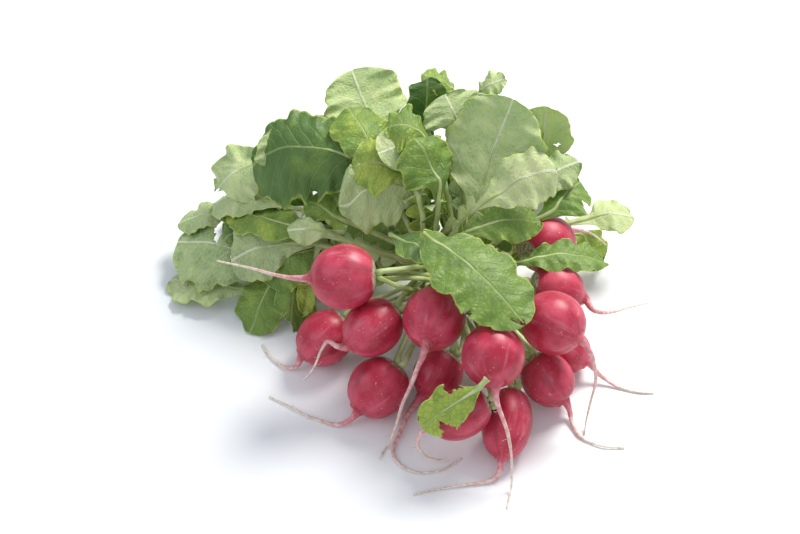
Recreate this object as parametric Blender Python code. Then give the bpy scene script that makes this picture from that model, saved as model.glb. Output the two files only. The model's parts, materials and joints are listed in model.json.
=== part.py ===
"""A bunch of red radishes, tied at the leaf stalks and laid down.

Units: every design value is in millimetres and is turned to metres when a mesh is made.
+X is to the right along the bunch, +Y runs from the roots towards the leaves, +Z is up,
and z = 0 is the surface that the bunch lies on.

Each radish is one swept solid: globe, neck and taproot. Each leaf is one loft that starts as
a round stalk at its radish's crown, runs through the tie and opens into a thin blade.
The leaves are laid one on another, lowest first, so that each clears what lies under it.
"""
import math

import bmesh
import bpy
import numpy as np

MM = 0.001

# The whole bunch is moved by this much, so that the origin is under its middle.
ORIGIN_SHIFT = (-3.2, -7.6, -0.4)

# ---- the tie and the bundle of stalks inside it -------------------------------------------
TIE_CENTRE = (21.0, 5.0, 30.0)      # middle of the bundle
TIE_HALF_LENGTH = 5.0               # the stalks run straight for this far on both sides
STALK_RADIUS = 1.3
STALK_ROOM = 1.72                   # half the spacing kept between stalks in the tie
BUNDLE_REACH = 12                   # the bundle's outermost stalk from its middle
STAGGER = 0.8                       # inner stalks turn aside this much farther back, mm per mm
FORWARD_LIMIT = 10                  # blades that start nearer than this lean forward
BASE_RUN = 6                        # the stalk meets its blade in line for this far
STALK_PITCH = 3.7                   # centre to centre in the bundle
BAND_RADIUS = 0.9                   # round rubber band, as stretched
BAND_TURNS = 2
CLEARANCE = 0.7                     # air kept between a leaf and what it lies on

# ---- radishes -----------------------------------------------------------------------------
# name, centre, direction crown to root, radius, half length, taproot route
RADISHES = [
    ("radish_01", (-24.6, -24.2, 58), (-1.0, 0.0, -0.05), 14.5, 15.2,
     [(-46, -23, 56), (-53, -19, 53), (-65, -10, 49), (-76, -3, 45), (-83, 1, 43)]),
    ("radish_02", (-12, -33.5, 35.5), (-0.8, -0.5, -0.3), 12.5, 14.4,
     [(-28, -42, 32), (-32, -40, 33), (-35, -42, 29), (-38, -45, 22), (-43, -46, 15)]),
    ("radish_03", (15, -36.7, 45), (-0.25, -0.97, -0.05), 13.9, 14.6,
     [(10, -56, 41), (6, -60, 33), (1, -66, 20), (-3, -70, 8), (-6, -73, 1.5), (-9, -80, 1)]),
    ("radish_04", (-34.3, -19.9, 14), (-0.76, -0.44, -0.44), 12.3, 14,
     [(-48, -28, 3), (-53, -27, 1.6), (-60, -20, 1.2), (-64, -12, 1)]),
    ("radish_05", (-9.6, -50, 14), (-0.66, -0.53, -0.53), 13.4, 14.4,
     [(-23, -60, 3.5), (-29, -61, 1.8), (-38, -57, 1.3), (-48, -51, 1.1), (-59, -44, 1)]),
    ("radish_06", (17.1, -41, 13), (-0.6, -0.57, -0.57), 11.2, 12.3,
     [(7, -51, 3.5), (3, -57, 2.2), (0, -67, 1.8), (-3, -77, 1.6), (0, -84, 1.5),
      (8, -88, 1.3), (18, -87, 1.1), (27, -80, 1)]),
    ("radish_07", (26, -74, 24), (-0.92, -0.3, -0.25), 11.1, 14.4,
     [(9, -80, 18), (8, -83, 12), (13, -83, 5), (21, -82, 2)]),
    ("radish_08", (40.1, -58.3, 44), (0.03, -0.97, -0.26), 13.7, 14.4,
     [(41, -77, 38), (43, -81, 33), (46, -86, 24), (48, -92, 12), (48, -97, 3), (46, -107, 1)]),
    ("radish_09", (47, -69.5, 12.5), (-0.17, -0.93, -0.33), 11.1, 17,
     [(43, -90, 4.5), (40, -93, 1.6), (30, -95, 1.2), (17, -97, 1.1), (6, -100, 1)]),
    ("radish_10", (67.3, -37.8, 43), (0.73, -0.67, 0.035), 14, 14.8,
     [(81, -51, 42), (84, -54, 38), (86, -56, 28), (85, -58, 16), (83, -60, 5), (82, -66, 1)]),
    ("radish_11", (66, -45, 14.2), (0.6, -0.6, -0.5), 11.6, 13.2,
     [(76, -56, 4), (77, -61, 2), (80, -68, 1.3), (88, -73, 1.1), (99, -74, 1)]),
    ("radish_12", (71.2, -5.5, 30), (0.95, 0.0, -0.3), 12.4, 13.4,
     [(88, -11, 24), (94, -10, 20), (101, -4, 15), (109, 4, 10), (117, 10, 6)]),
    ("radish_13", (67.9, 21.1, 34), (0.75, 0.65, -0.1), 13.4, 14.4,
     [(85, 33, 31), (91, 33, 28), (97, 31, 24)]),
    ("radish_14", (76, -24.5, 11.2), (0.8, -0.5, -0.2), 10.3, 11.5,
     [(88, -32, 7), (93, -35, 3.5), (99, -38, 1.6), (108, -41, 1.2), (115, -42, 1)]),
]
LEAVES_PER_RADISH = (4, 3, 4, 3, 3, 3, 2, 4, 3, 5, 3, 2, 1, 3)
TAIL_ROOT_RADIUS = 1.5
TAIL_TIP_RADIUS = 0.45

# Globe sections, as angle from the crown: radius follows the sine, place the cosine.
GLOBE_ANGLES = (14, 32, 52, 72, 92, 112, 132, 150, 164)
# Neck sections below the globe: place along the axis, radius, both in half lengths.
NECK_SECTIONS = ((1.06, 0.20),)

# ---- leaves, lowest first -----------------------------------------------------------------
# blade base, blade tip, half width, arch, sideways bend, cup, roll in degrees, side shown,
# and the points that the stalk passes on its way
LEAVES = [
    ((-28, 60, 40), (-66, 104, 1), 15, 10, 2, -0.2, 0, "top", ()),
    ((5, 68, 44), (-4, 122, 1), 16, 12, -2, -0.2, 0, "top", ()),
    ((45, 60, 38), (70, 104, 1), 14, 10, 2, -0.2, 0, "top", ()),
    ((-52, 58, 28), (-82, 82, 1), 11, 6, 1, -0.1, 0, "top", ()),
    ((-74, 16, 9), (-110, 29, 2), 9.5, 4, -2, -0.2, 0, "under", ()),
    ((-56, 20, 19), (-70, -5, 1), 9.5, 4, 0, -0.2, 0, "top", ()),
    ((-47, 19, 22), (-51, -3, 1), 7, 3, 0, -0.2, 0, "top", ()),
    ((-38, 19, 25), (-45, 0, 3), 3.5, 2, 0, 0.5, 0, "top", ()),
    ((85, 44, 20), (96, 35, 5), 8, 3, 0, -0.1, 0, "top", ((54, 44, 14),)),
    ((-63, 21, 22), (-107, 43, 14), 17, 5, 0, -0.15, -20, "under", ()),
    ((-79, 51, 24), (-107, 52, 17), 7, 3, 0, -0.2, 0, "under", ()),
    ((-33, 21, 30), (-65, 13, 17), 11, 4, 0, -0.25, -20, "top", ()),
    ((-65, 36, 30), (-83, 32, 16), 9, 3, 0, -0.2, -20, "top", ()),
    ((-48, 20, 36), (-79, 21, 22), 11, 3, 0, -0.1, -30, "under", ()),
    ((-38, 19, 44), (-83, 46, 28), 7.5, 6, -4, -0.3, -15, "top", ()),
    ((-56, 36, 42), (-90, 55, 26), 9, 4, 0, -0.2, -20, "under", ()),
    ((-61, 58, 54), (-86, 52, 34), 14, 2, 0, -0.1, -25, "under", ()),
    ((88, 42, 30), (111, 46, 28), 8, 3, 0, -0.2, 15, "under", ((52, 46, 24),)),
    ((-32, 16, 42), (-52, 20, 40), 4.5, 2, 0, -0.2, -25, "under", ()),
    ((-29, 24, 48), (-44, 33, 50), 5.5, 2, 0, -0.1, -25, "top", ()),
    ((-45, 51, 56), (-53, 62, 74), 9, 1, 0, -0.1, 0, "under", ()),
    ((69, 24, 50), (84, 44, 52), 10, 3, 0, -0.1, 20, "top", ()),
    ((53, 0, 39), (95, 8, 34), 7, 3, 0, -0.2, 10, "top", ()),
    ((66, 55, 50), (68, 68, 78), 11, -2, 0, 0.1, 0, "under", ()),
    ((61, 32, 58), (83, 47, 62), 7, 3, 0, -0.2, 25, "under", ()),
    ((-12, 37, 70), (-69, 49, 50), 15, 6, 0, -0.2, -25, "top", ()),
    ((-2, 5, 54), (14, -5, 46), 8, 3, 0, 0.1, 0, "top", ((-26, 18, 60),)),
    ((26, 76, 77), (10, 79, 88), 5, 4, 0, -0.3, 0, "top", ()),
    ((36, 80, 74), (49, 79, 86), 4.5, 1, 0, -0.1, 20, "under", ()),
    ((37, 64, 66), (35, 75, 80), 9, 1, 0, 0.1, 0, "under", ()),
    ((-8, 61, 66), (-23, 87, 84), 17, -3, 0, 0.1, 0, "under", ()),
    ((-10, 33, 74), (-24, 62, 82), 9, 3, 0, -0.2, 0, "top", ()),
    ((12, 65, 70), (13, 75, 84), 5.5, 0, 0, 0.1, 0, "top", ()),
    ((26, 52, 76), (19, 61, 90), 6.5, 1, 0, -0.1, 0, "under", ()),
    ((8, 24, 57), (-28, 21, 58), 7, 3, 0, -0.2, -20, "under", ()),
    ((4, 27, 66), (-22, 31, 66), 8, 4, 0, -0.2, -20, "top", ()),
    ((10, 38, 78), (-10, 30, 82), 6, 3, 0, -0.1, -30, "under", ()),
    ((11, 39, 83), (-7, 40, 86), 7, 4, 0, -0.2, -15, "top", ()),
    ((40, 20, 58), (56, 50, 96), 18, -2, -2, 0.05, 0, "under", ()),
    ((17, 19, 70), (4, 33, 80), 6.5, 3, 0, -0.3, 0, "top", ()),
    ((31, 5, 58), (64, 17, 52), 8, 4, 0, -0.1, 20, "top", ()),
    ((37, 13, 68), (71, 27, 70), 8, 4, 0, -0.1, 35, "under", ()),
    ((9, -8, 70), (54, -53, 58), 16, 6, 0, -0.15, 0, "top", ()),
]
BLADE_STATIONS = (0.10, 0.28, 0.48, 0.68, 0.86, 1.0)
BLADE_WIDTHS = (0.34, 0.80, 1.0, 0.97, 0.72, 0.24)
BLADE_HALF_THICKNESS = 0.4
MIDRIB_HALF_THICKNESS = 1.0
CROWN_RADIUS = 2.4                  # ring of stalks on a crown
CROWN_GAP = 1.5                     # from a globe's end to the first section of a stalk
FRONT_POINTS = 5                    # stalk points from crown to tie, ends included
STALK_POINTS = 10                   # stalk points from crown to blade, ends included
RELAX_ROUNDS = 140

# ---- small loose pieces of the bunch --------------------------------------------------------
BROKEN_STALK = [(52.5, -48, 15), (50, -49.5, 10), (47, -53, 3.6), (44, -55, 2)]
TORN_STALK = ((37, -74, 47), (33, -77, 43.5))
TORN_LEAF = ((33, -77, 43.5), (9, -85, 27.5), 7, 1, 0, -0.1, -40, "under", ())

# ---- the height map that the leaves are laid on -----------------------------------------------
CELL = 0.5
FIELD_MIN = (-135.0, -125.0)
FIELD_SIZE = (540, 540)

GREEN_TOP = (0.10, 0.22, 0.03, 1)
GREEN_UNDER = (0.38, 0.46, 0.22, 1)
RED = (0.55, 0.03, 0.07, 1)
BAND_TAN = (0.55, 0.40, 0.22, 1)


def material(name, colour, roughness):
    mat = bpy.data.materials.new(name)
    mat.use_nodes = True
    shader = mat.node_tree.nodes["Principled BSDF"]
    shader.inputs["Base Color"].default_value = colour
    shader.inputs["Roughness"].default_value = roughness
    return mat


def unit(vector):
    return np.asarray(vector, float) / np.linalg.norm(vector)


def smooth_path(points, count):
    """Points spaced evenly in parameter on a Catmull-Rom curve through the given points."""
    pts = np.asarray(points, float)
    pts = np.vstack([2 * pts[0] - pts[1], pts, 2 * pts[-1] - pts[-2]])
    out = []
    for u in np.linspace(0, len(points) - 1, count):
        i = min(int(u), len(points) - 2)
        f = u - i
        a, b, c, d = pts[i:i + 4]
        out.append(0.5 * (2 * b + (c - a) * f + (2 * a - 5 * b + 4 * c - d) * f ** 2
                          + (3 * b - a - 3 * c + d) * f ** 3))
    return np.array(out)


# ---- the height map -------------------------------------------------------------------------
class HeightMap:
    """The highest thing laid so far over each cell, in millimetres."""

    def __init__(self):
        self.height = np.full(FIELD_SIZE, -CLEARANCE)

    def cells(self, points):
        index = ((points[:, :2] - FIELD_MIN) / CELL).astype(int)
        return np.clip(index, 1, np.array(FIELD_SIZE) - 2)

    def add(self, points):
        cells = self.cells(points)
        for dx in (-1, 0, 1):
            for dy in (-1, 0, 1):
                np.maximum.at(self.height, (cells[:, 0] + dx, cells[:, 1] + dy), points[:, 2])

    def lift(self, points):
        """How far each point must rise to clear what is under it."""
        cells = self.cells(points)
        return self.height[cells[:, 0], cells[:, 1]] + CLEARANCE - points[:, 2]


def triangle_weights(corners):
    """Barycentric weights of samples spread over one triangle, under a cell apart."""
    edges = np.linalg.norm(corners - np.roll(corners, 1, axis=0), axis=1)
    steps = max(2, math.ceil(edges.max() / (0.8 * CELL)))
    a, b = np.meshgrid(np.arange(steps + 1), np.arange(steps + 1))
    keep = a + b <= steps
    a, b = a[keep] / steps, b[keep] / steps
    return np.column_stack([a, b, 1 - a - b])


# ---- radishes ---------------------------------------------------------------------------------
def radish_sections(centre, direction, radius, half_length, tail):
    """Centres and radii of a radish's round sections, crown first."""
    centre, direction = np.array(centre, float), unit(direction)
    points, radii = [], []
    for angle in np.radians(GLOBE_ANGLES):
        points.append(centre - direction * half_length * math.cos(angle))
        radii.append(radius * math.sin(angle))
    for place, size in NECK_SECTIONS:
        points.append(centre + direction * half_length * place)
        radii.append(radius * size)
    route = smooth_path([points[-1]] + list(tail), 2 * len(tail) + 1)[1:]
    for i, point in enumerate(route):
        share = (i + 1) / len(route)
        points.append(point)
        radii.append(TAIL_ROOT_RADIUS + (TAIL_TIP_RADIUS - TAIL_ROOT_RADIUS) * share ** 0.6)
    return np.array(points), np.array(radii)


def swept_tube(name, points, radii, resolution, collection, mat):
    """A round tube whose thickness changes along a polyline, as a curve with filled caps."""
    curve = bpy.data.curves.new(name, "CURVE")
    curve.dimensions = "3D"
    curve.bevel_depth = MM
    curve.bevel_resolution = resolution
    curve.use_fill_caps = True
    spline = curve.splines.new("POLY")
    spline.points.add(len(points) - 1)
    for target, point, radius in zip(spline.points, points, radii):
        target.co = (*((np.array(point) + ORIGIN_SHIFT) * MM), 1)
        target.radius = radius
    curve.materials.append(mat)
    obj = bpy.data.objects.new(name, curve)
    collection.objects.link(obj)
    return obj


def globe_samples(centre, direction, radius, half_length):
    """Points over a globe, for the height map."""
    direction = unit(direction)
    side = unit(np.cross(direction, (0.3, 0.2, 1)))
    other = np.cross(direction, side)
    polar = np.radians(np.arange(0, 180.1, 1.2))[:, None]
    turn = np.radians(np.arange(0, 360, 1.5))[None, :]
    along = -np.cos(polar) * half_length + 0 * turn
    across = np.sin(polar) * radius
    points = (np.array(centre) + along[..., None] * direction
              + (across * np.cos(turn))[..., None] * side
              + (across * np.sin(turn))[..., None] * other)
    return points.reshape(-1, 3)


# ---- stalks -------------------------------------------------------------------------------------
def bundle_slots(count):
    """Hexagonally packed places for the stalks in the tie, bottom row first."""
    rows = []
    for j in range(-6, 7):
        for i in range(-6, 7):
            x = (i + 0.5 * (j % 2)) * STALK_PITCH
            z = j * STALK_PITCH * math.sqrt(3) / 2
            rows.append((math.hypot(x, z), z, x))
    nearest = sorted(rows)[:count]
    return sorted((round(z, 4), round(x, 4)) for _, z, x in nearest)


def assign_slots(leaves):
    """One slot per leaf: low leaves low in the bundle, and left to right within a row."""
    slots = bundle_slots(len(leaves))
    rows = {}
    for z, x in slots:
        rows.setdefault(z, []).append(x)
    places, first = [None] * len(leaves), 0
    for z in sorted(rows):
        members = list(range(first, first + len(rows[z])))
        first += len(members)
        members.sort(key=lambda k: math.atan2(leaves[k][0][0] - TIE_CENTRE[0],
                                              max(1.0, leaves[k][0][1] - TIE_CENTRE[1])))
        for k, x in zip(members, sorted(rows[z])):
            places[k] = (TIE_CENTRE[0] + x, TIE_CENTRE[2] + z)
    return places


def assign_radishes(places):
    """Share the stalks out among the radishes, each to a crown on its own side of the tie."""
    spare = dict(enumerate(LEAVES_PER_RADISH))
    crowns = []
    for _, centre, direction, _, half_length, _ in RADISHES:
        crowns.append(np.array(centre) - unit(direction) * half_length)
    costs = []
    for i, (x, z) in enumerate(places):
        for k, crown in enumerate(crowns):
            aim = np.array([crown[0] - TIE_CENTRE[0], 1.6 * (crown[2] - TIE_CENTRE[2])])
            aim = aim / max(8.0, np.linalg.norm(aim)) * 10
            offset = np.array([x - TIE_CENTRE[0], z - TIE_CENTRE[2]]) - aim
            costs.append((round(float(np.linalg.norm(offset)), 3), i, k))
    owner = {}
    for _, i, k in sorted(costs):
        if i not in owner and spare[k] > 0:
            owner[i] = k
            spare[k] -= 1
    return [owner[i] for i in range(len(places))]


def crown_start(owner, turn):
    """Where a stalk leaves its crown, and the way it points there."""
    _, centre, direction, _, half_length, _ = RADISHES[owner]
    direction = unit(direction)
    side = unit(np.cross(direction, (0.3, 0.2, 1)))
    other = np.cross(direction, side)
    start = (np.array(centre) - direction * (half_length + CROWN_GAP)
             + CROWN_RADIUS * (math.cos(turn) * side + math.sin(turn) * other))
    return start, -direction


def crown_turns(places, owners):
    """Where each stalk stands round its crown, in the order that their slots lie."""
    turns = {}
    for k, (_, _, direction, _, _, _) in enumerate(RADISHES):
        direction = unit(direction)
        side = unit(np.cross(direction, (0.3, 0.2, 1)))
        other = np.cross(direction, side)
        members = [i for i, owner in enumerate(owners) if owner == k]
        slots = np.array([(places[i][0], TIE_CENTRE[1], places[i][1]) for i in members])
        offsets = slots - slots.mean(axis=0)
        angles = np.arctan2(offsets @ other, offsets @ side)
        ranked = np.argsort(angles)
        for rank, member in enumerate(ranked):
            turns[members[member]] = angles[ranked[0]] + 2 * math.pi * rank / len(members)
    return turns


def stalk_routes(places, owners):
    """Stalks from crown through the tie to the blade, pushed clear of globes and each other."""
    routes = np.zeros((len(places), STALK_POINTS, 3))
    turns = crown_turns(places, owners)
    for i, ((x, z), k) in enumerate(zip(places, owners)):
        start, way = crown_start(k, turns[i])
        front = np.array([x, TIE_CENTRE[1] - TIE_HALF_LENGTH, z])
        base, via = np.array(LEAVES[i][0], float), list(LEAVES[i][8])
        forward = base[1] < FORWARD_LIMIT and not via
        lean = np.clip((TIE_CENTRE[0] - base[0]) / 20, -1, 1)
        outer = BUNDLE_REACH + (x - TIE_CENTRE[0]) * lean
        back = np.array([x, TIE_CENTRE[1] + TIE_HALF_LENGTH, z])
        back[1] += 0 if forward else STAGGER * outer
        routes[i, :FRONT_POINTS] = smooth_path(
            [start, start + 9 * way, front - (0, 6, 0), front], FRONT_POINTS)
        bend_out = back + (0, 4, 5 if forward else 0) + 0.12 * (base - back)
        approach = base - BASE_RUN * unit(np.array(LEAVES[i][1]) - base)
        routes[i, FRONT_POINTS:-1] = smooth_path([back, bend_out] + via + [approach],
                                                 STALK_POINTS - FRONT_POINTS - 1)
        routes[i, -1] = base
    fixed = np.zeros(STALK_POINTS, bool)
    fixed[[0, FRONT_POINTS - 1, FRONT_POINTS, -1]] = True
    return push_apart(routes, fixed, owners)


def push_apart(routes, fixed, owners):
    """Move the free points of all stalks until none touches a globe, the floor or another."""
    count, points = routes.shape[:2]
    samples = 5 * (points - 1) + 1
    blend = np.zeros((samples, points))
    for j, u in enumerate(np.linspace(0, points - 1, samples)):
        low = min(int(u), points - 2)
        blend[j, low], blend[j, low + 1] = 1 - (u - low), u - low
    share = blend.sum(axis=0)[None, :, None]
    centres = np.array([r[1] for r in RADISHES], float)
    axes = np.array([unit(r[2]) for r in RADISHES])
    reach = np.array([(r[3], r[4]) for r in RADISHES]) + STALK_RADIUS + 0.6
    owner = np.repeat(np.arange(count), samples)
    place = np.tile(np.arange(samples), count)
    own_globe = np.array(owners)[owner]
    for _ in range(RELAX_ROUNDS):
        dots = np.einsum("sp,ipx->isx", blend, routes).reshape(-1, 3)
        push = np.zeros_like(dots)
        for k in range(len(RADISHES)):
            away = dots - centres[k]
            far = np.linalg.norm(away, axis=1)
            along = away @ axes[k]
            across = np.sqrt(np.clip(far ** 2 - along ** 2, 0, None))
            inside = np.hypot(across / reach[k, 0], along / reach[k, 1])
            deep = np.clip(1 / inside - 1, 0, None) * far
            deep[(own_globe == k) & (place < 5)] = 0
            push += away / far[:, None] * deep[:, None]
        tie_distance = np.linalg.norm(dots - TIE_CENTRE, axis=1)
        room = np.clip(STALK_ROOM + 0.03 * (tie_distance - 16), STALK_ROOM, 2.3)
        room[place < 5] = STALK_ROOM
        squares = (dots ** 2).sum(axis=1)
        gaps = squares[:, None] + squares[None, :] - 2 * dots @ dots.T
        first, second = np.nonzero(gaps < (room[:, None] + room[None, :]) ** 2)
        keep = owner[first] != owner[second]
        first, second = first[keep], second[keep]
        away = dots[first] - dots[second]
        far = np.linalg.norm(away, axis=1) + 1e-6
        deep = room[first] + room[second] - far
        np.add.at(push, first, away / far[:, None] * (0.5 * deep)[:, None])
        push[:, 2] += np.clip(STALK_RADIUS + 0.3 - dots[:, 2], 0, None)
        moved = np.einsum("sp,isx->ipx", blend, push.reshape(count, samples, 3)) / (0.4 * share)
        moved = np.clip(moved, -0.8, 0.8)
        middle = np.zeros_like(routes)
        middle[:, 1:-1] = 0.5 * (routes[:, :-2] + routes[:, 2:]) - routes[:, 1:-1]
        routes[:, ~fixed] += moved[:, ~fixed] + 0.02 * middle[:, ~fixed]
    return routes


# ---- leaves -------------------------------------------------------------------------------------
# One ring has eight points: left margin, three on top, right margin, three underneath.
RING_ACROSS = np.array([-1, -0.5, 0, 0.5, 1, 0.5, 0, -0.5])
RING_UP = np.array([0, 1, 1, 1, 0, -1, -1, -1])
RING_COLUMN = np.array([0, 1, 2, 3, 4, 3, 2, 1])
CIRCLE = np.radians([180, 135, 90, 45, 0, -45, -90, -135])


def leaf_rings(stalk, leaf):
    """Rings of one leaf from the crown to the blade's tip."""
    base, tip, half_width, arch, bend, cup, roll = leaf[:7]
    base, tip = np.array(base, float), np.array(tip, float)
    along = unit(tip - base)
    level = unit(np.cross(along, (0, 0, 1)))
    up = np.cross(level, along)
    middle = 0.5 * (base + tip) + arch * up + bend * level
    blade = smooth_path([base, middle, tip], 41)
    lengths = np.concatenate([[0], np.cumsum(np.linalg.norm(np.diff(blade, axis=0), axis=1))])
    stations = np.array(BLADE_STATIONS) * lengths[-1]
    blade = np.column_stack([np.interp(stations, lengths, blade[:, a]) for a in range(3)])
    centres = np.vstack([stalk, blade])
    tangents = np.gradient(centres, axis=0)
    tangents /= np.linalg.norm(tangents, axis=1)[:, None]

    angle = -math.radians(roll)
    blade_side = math.cos(angle) * level + math.sin(angle) * up
    sides = np.zeros_like(centres)
    sides[-len(blade) - 1:] = blade_side
    for i in range(len(centres) - len(blade) - 2, -1, -1):
        side = sides[i + 1] - tangents[i] * (sides[i + 1] @ tangents[i])
        sides[i] = unit(side)
    rings = []
    first_blade = len(centres) - len(blade)
    for i, (centre, tangent) in enumerate(zip(centres, tangents)):
        side = unit(sides[i] - tangent * (sides[i] @ tangent))
        normal = np.cross(side, tangent)
        if i < first_blade:
            rings.append(centre + STALK_RADIUS * (np.cos(CIRCLE)[:, None] * side
                                                  + np.sin(CIRCLE)[:, None] * normal))
            continue
        share = (i - first_blade) / (len(blade) - 1)
        width = half_width * BLADE_WIDTHS[i - first_blade]
        thick = np.where(RING_ACROSS == 0, MIDRIB_HALF_THICKNESS * (1 - 0.55 * share),
                         BLADE_HALF_THICKNESS)
        rise = cup * width * np.abs(RING_ACROSS) ** 1.6 + RING_UP * thick
        rings.append(centre + (RING_ACROSS * width)[:, None] * side + rise[:, None] * normal)
    return np.array(rings)


def loft_faces(ring_count):
    """Triangles of a closed loft with a pole at each end, both sides split the same way."""
    faces = []
    size = len(RING_ACROSS)
    for i in range(ring_count - 1):
        for k in range(size):
            a, b = i * size + k, i * size + (k + 1) % size
            d, c = a + size, b + size
            if k < size // 2:
                faces += [(a, b, c), (a, c, d)]
            else:
                faces += [(a, b, d), (b, c, d)]
    start, end = ring_count * size, ring_count * size + 1
    last = (ring_count - 1) * size
    for k in range(size):
        faces.append((start, (k + 1) % size, k))
        faces.append((end, last + k, last + (k + 1) % size))
    return faces


def lay_leaf(rings, blades, everything):
    """Raise a leaf's sections until every facet clears what lies under it."""
    size = len(RING_ACROSS)
    flat = rings.reshape(-1, 3)
    columns = np.tile(RING_COLUMN, len(rings))
    ring_of = np.repeat(np.arange(len(rings)), size)
    need = np.zeros((len(rings), 5))
    for face in loft_faces(len(rings)):
        if max(face) >= len(flat) or max(ring_of[v] for v in face) <= FRONT_POINTS:
            continue
        corners = flat[list(face)]
        field = everything if max(ring_of[v] for v in face) >= STALK_POINTS else blades
        lift = field.lift(triangle_weights(corners) @ corners).max()
        if lift > 0:
            for v in face:
                need[ring_of[v], columns[v]] = max(need[ring_of[v], columns[v]], lift)
    need = np.maximum(need, spread(need))
    need[:STALK_POINTS] = need[:STALK_POINTS].max(axis=1)[:, None]
    need[:FRONT_POINTS + 1] = 0
    flat[:, 2] += need[ring_of, columns]
    return flat.reshape(rings.shape)


def spread(need):
    """Neighbours rise by part of the lift, so that the blade bends and doesn't crease."""
    softer = need.copy()
    softer[1:] = np.maximum(softer[1:], 0.7 * need[:-1])
    softer[:-1] = np.maximum(softer[:-1], 0.7 * need[1:])
    softer[:, 1:] = np.maximum(softer[:, 1:], 0.85 * softer[:, :-1])
    softer[:, :-1] = np.maximum(softer[:, :-1], 0.85 * softer[:, 1:])
    return softer


def add_to_field(rings, field):
    flat = rings.reshape(-1, 3)
    for face in loft_faces(len(rings)):
        if max(face) < len(flat):
            corners = flat[list(face)]
            field.add(triangle_weights(corners) @ corners)


def loft_object(name, rings, collection, mat):
    ends = np.array([rings[0].mean(axis=0), rings[-1].mean(axis=0)])
    points = (np.vstack([rings.reshape(-1, 3), ends]) + ORIGIN_SHIFT) * MM
    mesh = bpy.data.meshes.new(name)
    mesh.from_pydata(points.tolist(), [], loft_faces(len(rings)))
    work = bmesh.new()
    work.from_mesh(mesh)
    bmesh.ops.recalc_face_normals(work, faces=work.faces)
    work.to_mesh(mesh)
    work.free()
    mesh.shade_smooth()
    mesh.materials.append(mat)
    obj = bpy.data.objects.new(name, mesh)
    collection.objects.link(obj)
    return obj


def build_leaves(field, collection, mats):
    places = assign_slots(LEAVES)
    owners = assign_radishes(places)
    stalks = stalk_routes(places, owners)
    drafts = [leaf_rings(stalk, leaf) for stalk, leaf in zip(stalks, LEAVES)]
    blades = HeightMap()
    for rings in drafts:
        add_to_field(rings[:FRONT_POINTS + 1], field)
    for number, (rings, leaf) in enumerate(zip(drafts, LEAVES), start=1):
        laid = lay_leaf(rings, blades, field)
        add_to_field(laid[FRONT_POINTS:], field)
        add_to_field(laid[STALK_POINTS - 1:], blades)
        loft_object(f"leaf_{number:02d}", laid, collection, mats[leaf[7]])
    return places


def build_band(places, collection, mat):
    """A round rubber band, wound twice side by side round the bundle."""
    reach = max(math.hypot(x - TIE_CENTRE[0], z - TIE_CENTRE[2]) for x, z in places)
    major = reach + STALK_RADIUS + BAND_RADIUS + 0.4
    turn = np.linspace(0, 2 * math.pi * BAND_TURNS, 28 * BAND_TURNS)
    pitch = 2 * BAND_RADIUS + 0.5
    along = (turn / (2 * math.pi) - BAND_TURNS / 2) * pitch
    points = np.column_stack([TIE_CENTRE[0] + major * np.cos(turn), TIE_CENTRE[1] + along,
                              TIE_CENTRE[2] + major * np.sin(turn)])
    swept_tube("rubber_band", points, np.full(len(points), BAND_RADIUS), 1, collection, mat)


def main():
    for obj in list(bpy.data.objects):
        bpy.data.objects.remove(obj, do_unlink=True)
    bunch = bpy.data.collections.new("bunch_of_radishes")
    bpy.context.scene.collection.children.link(bunch)
    field = HeightMap()
    for name, centre, direction, radius, half_length, tail in RADISHES:
        points, radii = radish_sections(centre, direction, radius, half_length, tail)
        swept_tube(name, points, radii, 3, bunch, material(name, RED, 0.35))
        field.add(globe_samples(centre, direction, radius, half_length))
    mats = {"top": material("leaf_top", GREEN_TOP, 0.5),
            "under": material("leaf_underside", GREEN_UNDER, 0.6)}
    places = build_leaves(field, bunch, mats)
    torn = leaf_rings(np.linspace(*TORN_STALK, STALK_POINTS), TORN_LEAF)
    loft_object("torn_leaf", torn, bunch, mats["under"])
    swept_tube("broken_stalk", BROKEN_STALK, np.full(len(BROKEN_STALK), STALK_RADIUS), 1,
               bunch, mats["under"])
    build_band(places, bunch, material("rubber_band", BAND_TAN, 0.6))


main()
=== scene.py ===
# %% [markdown]
# # A bunch of radishes
# The real object is a bunch of fresh radishes tied at the leaf stalks and laid down. A solid
# model of every radish and leaf comes first and gives each piece its place and size. This
# lesson loads it as a fixed frame and then grows a finer piece around each solid.

# %% Load the frame
import math

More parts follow.
